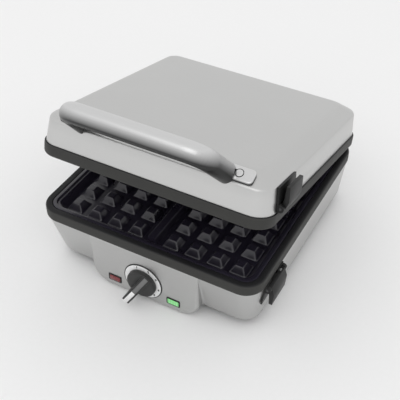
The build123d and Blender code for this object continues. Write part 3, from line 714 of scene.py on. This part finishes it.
def tray(name, move):
    """Lip, stepped wall, floor and underside of a cast plate."""
    top = PARTING - 0.7
    under = PARTING - 3.6
    sections = [
        (PLATE_HALF - 16.5, 6.5, PLATE_FLOOR),
        (PLATE_HALF - 14.6, 7.6, PLATE_FLOOR + 0.25),
        (PLATE_HALF - 13.4, 8.4, PLATE_FLOOR + 1.0),
        (PLATE_HALF - 12.4, 8.9, PLATE_FLOOR + 2.3),
        (PLATE_HALF - 7.9, 10.4, top - 3.4),
        (PLATE_HALF - 7.4, 10.6, top - 2.9),
        (PLATE_HALF - 6.8, 10.8, top - 2.7),
        (PLATE_HALF - 5.3, 11.2, top - 2.6),
        (PLATE_HALF - 5.0, 11.3, top - 2.2),
        (PLATE_HALF - 4.7, 11.5, top - 0.5),
        (PLATE_HALF - 4.2, 11.9, top - 0.1),
        (PLATE_HALF - 3.6, 12.3, top),
        (PLATE_HALF - 1.1, 14.4, top),
        (PLATE_HALF - 0.4, 15.0, top - 0.2),
        (PLATE_HALF - 0.05, 15.3, top - 0.8),
        (PLATE_HALF, 15.5, under),
        (PLATE_HALF - 4.8, 12.0, under),
        (PLATE_HALF - 12.4, 10.0, PLATE_FLOOR - 4.0),
    ]
    return loft(name, [move(around_plate(*s)) for s in sections], closed=False)


def waffle_plate(name, body, node, move):
    """Tray, field of studs and the tongue that the release lever holds."""
    z = PLATE_FLOOR - 3.0
    front, rear = LEVER_FRONT + 1.0, LEVER_REAR - 1.0
    tongue = block("tongue", (PLATE_HALF - 14, front, z), (PLATE_HALF - 3, rear, z + 2.4))
    move_mesh(tongue, move)
    plate = join(name, [tray("tray", move), relief("relief", move), tongue])
    clean(plate, 1e-8)
    finish_piece(plate, body, MATERIALS["plate_nonstick"], [node], sharp=40)


waffle_plate("lower_waffle_plate", "base", "lower_plate", lambda points: points)
waffle_plate("upper_waffle_plate", "lid", "upper_plate", lambda points: opened(flipped(points)))


# ---- handle -------------------------------------------------------------
BEVEL_LOW = Vector((0, FRONT + CREASE_IN, CREASE_Z))
BEVEL_HIGH = Vector((0, FRONT + CROWN_IN, LID_TOP))
BEVEL_MID = (BEVEL_LOW + BEVEL_HIGH) / 2
SLOPE = (BEVEL_HIGH - BEVEL_LOW).normalized()
BEVEL_NORMAL = Vector((0, -SLOPE.z, SLOPE.y))
RISE = 35.8              # how steeply the bow stands forward
UP = Vector((0, -cos(radians(RISE)), sin(radians(RISE))))
ACROSS = Vector((0, sin(radians(RISE)), cos(radians(RISE))))
ROOT = BEVEL_MID - ACROSS * 2.5
HANDLE_OUT, HANDLE_FOOT, HANDLE_SHOULDER, BEND_R = 57.3, 86.0, 78.2, 20.4
GRIP_HALF, GRIP_CROWN, GRIP_FLAT = 11.5, 11.3, -3.0    # D section: half width, crown, flat inner side
PADDLE_X = 99.5
WELL_R = 5.0


def bow_path():
    """Centre line of the bow in (x, reach): leg, bend, grip, bend, leg."""
    lean = (HANDLE_FOOT - HANDLE_SHOULDER) / HANDLE_OUT
    sunk = 5.0
    foot = Vector((HANDLE_FOOT + lean * sunk, -sunk))
    shoulder = Vector((HANDLE_SHOULDER, HANDLE_OUT))
    leg = (shoulder - foot).normalized()
    inner_angle = Vector((-1, 0)).angle(-leg)
    tangent = BEND_R * (1 + cos(inner_angle)) / sin(inner_angle)
    start = shoulder - leg * tangent
    end = shoulder - Vector((tangent, 0))
    points = [foot + (start - foot) * k / 6 for k in range(6)]
    for k in range(13):
        t = k / 12
        points.append(start * (1 - t) ** 2 + shoulder * 2 * t * (1 - t) + end * t * t)
    points += [Vector((end.x * (1 - k / 5), HANDLE_OUT)) for k in range(1, 6)]
    left = [Vector((-p.x, p.y)) for p in reversed(points[:-1])]
    return points + left


def bow(name):
    """Sweep of the grip's D-shaped section along the bow."""
    path = bow_path()
    section = [(GRIP_HALF * c, soft_max(GRIP_CROWN * d, GRIP_FLAT, 1.6)) for c, d in circle(1.0, 28)]
    rings = []
    for k, p in enumerate(path):
        before, after = path[max(k - 1, 0)], path[min(k + 1, len(path) - 1)]
        tangent = (after - before).normalized()
        outward = Vector((tangent.y, -tangent.x))
        ring = []
        for u, v in section:
            q = p + outward * v
            ring.append(tuple(ROOT + Vector((q.x, 0, 0)) + UP * q.y + ACROSS * u))
        rings.append(ring)
    return loft(name, rings, closed=False)


def on_bevel(x, u, v, w):
    """Point from a paddle's middle: u along X, v up the bevel, w out of it."""
    return tuple(BEVEL_MID + Vector((x + u, 0, 0)) + SLOPE * v + BEVEL_NORMAL * w)


def paddle(name, x):
    """Rounded foot plate lying on the bevel."""
    half_l, half_w, radius = 17.0, 8.75, 5.0
    rings = []
    for inset, w in ((0, 0.05), (0, 2.2), (0.3, 3.0), (0.9, 3.45), (1.7, 3.6)):
        outline = rounded(half_l - inset, -half_w + inset, half_w - inset, radius - inset * 0.6, 0, steps=6)
        rings.append([on_bevel(x, u, v, w) for u, v, _ in outline])
    return loft(name, rings, closed=False)


def bevel_disc(name, x, profile, steps=40):
    """Turned part square to the bevel, from (radius, height) points."""
    rings = [[on_bevel(x, u, v, w) for u, v in circle(radius, steps)] for radius, w in profile]
    return loft(name, rings, closed=False)


handle = bow("handle_bar")
for side in (-1, 1):
    combine(handle, paddle("foot", side * PADDLE_X), "UNION")
remesh = handle.modifiers.new("even", "REMESH")
remesh.mode = "VOXEL"
remesh.voxel_size = 0.8 * MM
smooth = handle.modifiers.new("soft", "SMOOTH")
smooth.factor = 0.5
smooth.iterations = 14
bake_modifiers(handle)
for side in (-1, 1):
    well = bevel_disc("well", side * PADDLE_X, [(WELL_R, 0.6), (WELL_R, 8.0)])
    combine(handle, well, "DIFFERENCE")
move_mesh(handle, opened)
finish_piece(handle, "lid", MATERIALS["handle_silver"], ["handle"], sharp=40)

cap_profile = [(3.9, 2.1), (4.2, 2.3), (4.2, 3.6), (4.0, 3.95), (3.2, 4.1), (1.2, 4.1)]
caps = join("handle_buttons", [bevel_disc("cap", side * PADDLE_X, cap_profile) for side in (-1, 1)])
clean(caps)
move_mesh(caps, opened)
finish_piece(caps, "lid", MATERIALS["handle_silver"], ["handle_caps"])


# ---- front controls -----------------------------------------------------
dial_profile = [(10.0, FACE_Y), (10.0, FACE_Y - 0.9), (10.6, FACE_Y - 1.0), (23.6, FACE_Y - 1.0),
                (24.6, FACE_Y - 0.9), (25.2, FACE_Y - 0.5), (25.2, FACE_Y)]
dial = turned_body("dial_plate", dial_profile, 0.0, KNOB_Z, steps=96)
finish_piece(dial, "base", MATERIALS["dial_silver"], ["dial_ring"])
border_profile = [(24.1, FACE_Y - 0.8), (24.1, FACE_Y - 1.02), (24.7, FACE_Y - 1.02), (25.35, FACE_Y - 0.5),
                  (25.35, FACE_Y), (24.8, FACE_Y)]
border = turned_body("dial_border", border_profile, 0.0, KNOB_Z, steps=96)
finish_piece(border, "base", MARKING)


def knob_point(reach, y, side):
    """Point on the knob from (distance along the pointer, y, distance across it)."""
    c, s = cos(radians(POINTER)), sin(radians(POINTER))
    return (reach * c - side * s, y, KNOB_Z + reach * s + side * c)


KNOB_R = 18.5
BLADE_R = 19.7           # reach of the pointer blade from the middle
BACK = FACE_Y - 1.4      # back of the knob
DISC = BACK - 6.2        # front of its disc
KINK = -2.0              # where the blade's crest bends, along the pointer
BLADE_HALF, GROOVE_HALF, STRIP_HALF = 4.8, 2.7, 2.6


def knob_bar(name, line, half):
    """Bar across the pointer, from its side outline in (reach, y)."""
    across = tuple(b - a for a, b in zip(knob_point(0, 0, -half), knob_point(0, 0, half)))
    return prism(name, [knob_point(r, y, -half) for r, y in line], across)


disc_profile = [(3.0, BACK), (KNOB_R - 0.3, BACK), (KNOB_R, BACK - 0.4), (KNOB_R - 0.25, DISC + 1.6),
                (KNOB_R - 0.7, DISC + 0.7), (KNOB_R - 1.6, DISC + 0.15), (KNOB_R - 3.0, DISC), (3.0, DISC)]
knob = turned_body("knob_body", disc_profile, 0.0, KNOB_Z, steps=72)
tip = -BLADE_R + 0.9
crest = [(-tip, DISC + 0.9), (-tip, DISC - 0.5), (KINK, DISC - 12.2), (tip, DISC - 17.2), (tip, DISC + 0.9)]
fin = knob_bar("fin", crest, BLADE_HALF)
soften(fin, 0.8, segments=3)
combine(knob, fin, "UNION")
groove_line = [(BLADE_R - 1.6, DISC - 1.2), (KINK, DISC - 12.6), (-BLADE_R + 0.2, DISC - 17.8),
               (-BLADE_R + 0.2, DISC - 16.0), (KINK, DISC - 11.0), (BLADE_R - 1.6, DISC + 0.6)]
combine(knob, knob_bar("groove", groove_line, GROOVE_HALF), "DIFFERENCE")
finish_piece(knob, "control_knob", MATERIALS["knob_plastic"], ["knob"])
# Upper part of the crest, from the blade's end down to the kink, in the darker copy: painted shade.
strip_line = [(BLADE_R - 1.6, DISC - 0.9), (KINK + 0.1, DISC - 12.45),
              (KINK + 0.1, DISC - 11.1), (BLADE_R - 1.6, DISC + 0.4)]
strip = knob_bar("crest_shade_strip", strip_line, STRIP_HALF)
soften(strip, 0.2)
finish_piece(strip, "control_knob", CREST_SHADE)
insert_line = [(KINK, DISC - 12.5), (-BLADE_R + 0.6, DISC - 17.5),
               (-BLADE_R + 0.6, DISC - 16.2), (KINK, DISC - 11.2)]
insert = knob_bar("pointer_insert", insert_line, STRIP_HALF)
soften(insert, 0.2)
finish_piece(insert, "control_knob", MATERIALS["insert_silver"], ["knob_insert"])


def rounded_bar(name, x, width, height, y0, y1, radius, edge):
    """Rounded block standing along Y with a soft front edge."""
    rings = []
    for inset, y in ((0, y1), (0, y0 + edge), (edge * 0.3, y0 + edge * 0.3), (edge, y0)):
        half_w, half_h = width / 2 - inset, height / 2 - inset
        flat = rounded(half_w, -half_h, half_h, max(0.2, radius - inset), 0, steps=5)
        rings.append([(x + u, y, LAMP_Z + v) for u, v, _ in flat])
    return loft(name, rings, closed=False)


frames = []
for x in (-LAMP_X, LAMP_X):
    bezel = rounded_bar("bezel", x, 17.8, 10.4, FACE_Y - 0.7, FACE_Y, 1.4, 0.4)
    sleeve = rounded_bar("sleeve", x, 16.2, 8.8, FACE_Y - 0.3, FACE_Y + 3.2, 0.8, 0.1)
    combine(bezel, sleeve, "UNION")
    opening = rounded_bar("opening", x, 14.6, 7.2, FACE_Y - 3, FACE_Y + 6, 0.7, 0.1)
    combine(bezel, opening, "DIFFERENCE")
    frames.append(bezel)
frames = join("lamp_frames", frames)
finish_piece(frames, "base", MATERIALS["black_plastic"], ["lamp_bezels"])
for x, name, slot, node in ((-LAMP_X, "preheat_window", "red_lens", "preheat_lens"),
                            (LAMP_X, "ready_window", "green_lens", "ready_lens")):
    window = rounded_bar(name, x, 14.5, 7.1, FACE_Y - 1.1, FACE_Y + 2.8, 0.7, 0.5)
    finish_piece(window, "base", MATERIALS[slot], [node])


def dial_number(name, digit, angle, radius, size):
    """Numeral standing upright on the dial."""
    curve = bpy.data.curves.new(name, "FONT")
    curve.body = digit
    curve.size = size * MM
    curve.extrude = 0.03 * MM
    curve.offset = 0.22 * MM
    curve.resolution_u = 3
    curve.align_x = "CENTER"
    curve.align_y = "CENTER"
    source = bpy.data.objects.new(name, curve)
    bpy.context.scene.collection.objects.link(source)
    depsgraph = bpy.context.evaluated_depsgraph_get()
    mesh = bpy.data.meshes.new_from_object(source.evaluated_get(depsgraph))
    bpy.data.objects.remove(source)
    bpy.data.curves.remove(curve)
    place = Matrix.Translation(Vector((
        radius * cos(radians(angle)), FACE_Y - 1.03, KNOB_Z + radius * sin(radians(angle)))) * MM)
    mesh.transform(place @ Matrix.Rotation(radians(90), 4, "X"))
    obj = bpy.data.objects.new(name, mesh)
    bpy.context.scene.collection.objects.link(obj)
    return obj


NUMERAL_R, NUMERAL_SIZE = 21.3, 4.6
NUMERAL_ANGLES = (109, 67, 33, -11, -46)    # where 1 to 5 stand on the dial, degrees
marks = [
    dial_number("digit", str(k + 1), angle, NUMERAL_R, NUMERAL_SIZE) for k, angle in enumerate(NUMERAL_ANGLES)
]
marks = join("dial_marks", marks)
clean(marks, 1e-8)
finish_piece(marks, "base", MARKING)


# ---- carried-over CAD nodes and softened copies --------------------------
def body_of_node(node):
    """Body that a CAD node belongs to."""
    for body, members in frame["record"]["behaviour"]["bodies"].items():
        if node in members:
            return body
    raise ValueError(node)


def softened_copy(name, node, slot, width):
    """Copy of a CAD node with its sharp edges rounded."""
    source = frame["nodes"][node]
    obj = bpy.data.objects.new(name, source.data.copy())
    bpy.context.scene.collection.objects.link(obj)
    soften(obj, width, dissolve=True)
    finish_piece(obj, body_of_node(node), MATERIALS[slot], [node])


softened_copy("base_lever_body", "base_release_lever", "black_plastic", 0.9)
softened_copy("lid_lever_body", "lid_release_lever", "black_plastic", 0.9)
softened_copy("base_lever_mount", "base_release_mount", "black_plastic", 0.5)
softened_copy("lid_lever_mount", "lid_release_mount", "black_plastic", 0.5)

CARRIED = {
    "black_steel": ["bottom_cover", "hinge_brackets", "hinge_arms", "base_release_pin", "lid_release_pin"],
    "rubber": ["feet"],
    "zinc_steel": [
        "foot_screws", "base_standoffs", "lid_standoffs", "thermostat_shaft", "control_bracket",
        "bracket_spacers", "hinge_pins", "hinge_bracket_screws", "hinge_arm_screws", "thermal_fuse",
        "handle_screws", "handle_nuts",
    ],
    "element_sheath": ["lower_element", "upper_element"],
    "pan_steel": ["lower_pan", "upper_pan"],
    "ceramic": ["thermostat", "terminal_block"],
    "lamp_glass": ["indicator_lamps"],
    "spring_steel": ["base_release_spring", "lid_release_spring"],
    "black_plastic": ["cord_inlet"],
    "lead_insulation": ["base_leads", "lid_leads"],
}
for finish, nodes in CARRIED.items():
    for node in nodes:
        obj = frame["nodes"][node]
        if not obj.material_slots:
            obj.data.materials.append(MATERIALS[finish])
        for material_slot in obj.material_slots:
            material_slot.material = MATERIALS[finish]

# ---- studio -------------------------------------------------------------
REACH = 4000.0           # half size of the floor
floor_corners = [(-REACH, -REACH, 0), (REACH, -REACH, 0), (REACH, REACH, 0), (-REACH, REACH, 0)]
floor = new_object("studio_floor", floor_corners, [(0, 1, 2, 3)])
paper = Nodes("studio_paper")
fibre = paper.noise(200, detail=2)
shade = paper.blend(paper.ramp(fibre, "Fac", 0, 1), "Result", (0.875, 0.875, 0.875), (0.885, 0.885, 0.885))
paper.tree.links.new(shade.outputs[2], paper.shader.inputs["Base Color"])
paper.shader.inputs["Roughness"].default_value = 0.9
floor.data.materials.append(paper.material)

world = bpy.data.worlds.new("studio_world")
world.use_nodes = True
bpy.context.scene.world = world
backdrop = world.node_tree.nodes["Background"]
backdrop.inputs["Color"].default_value = (1.0, 1.0, 1.0, 1.0)
backdrop.inputs["Strength"].default_value = 0.96


def area_light(name, place, target, size, power):
    """Rectangular softbox that looks from its place to the target, in metres and watts."""
    light = bpy.data.lights.new(name, "AREA")
    light.shape = "RECTANGLE"
    light.size, light.size_y = size
    light.energy = power
    obj = bpy.data.objects.new(name, light)
    obj.location = place
    obj.rotation_euler = (Vector(target) - Vector(place)).to_track_quat("-Z", "Y").to_euler()
    bpy.context.scene.collection.objects.link(obj)


area_light("key_softbox", (0.1, -1.3, 1.8), (0.05, -0.35, 0.0), (1.8, 1.2), 5.0)

LENS, SENSOR = 70.57, 36.0
CAMERA_AT = (0.3529, -0.6540, 0.6975)       # metres
CAMERA_DOWN, CAMERA_TURN = 41.396, 28.675    # degrees below level, degrees left of +Y
camera = bpy.data.cameras.new("camera")
camera.lens = LENS
camera.sensor_width = SENSOR
camera.clip_end = 50.0
camera_object = bpy.data.objects.new("camera", camera)
camera_object.location = CAMERA_AT
camera_object.rotation_euler = (radians(90 - CAMERA_DOWN), 0.0, radians(CAMERA_TURN))
bpy.context.scene.collection.objects.link(camera_object)
bpy.context.scene.camera = camera_object
bpy.context.scene.view_settings.view_transform = "Standard"
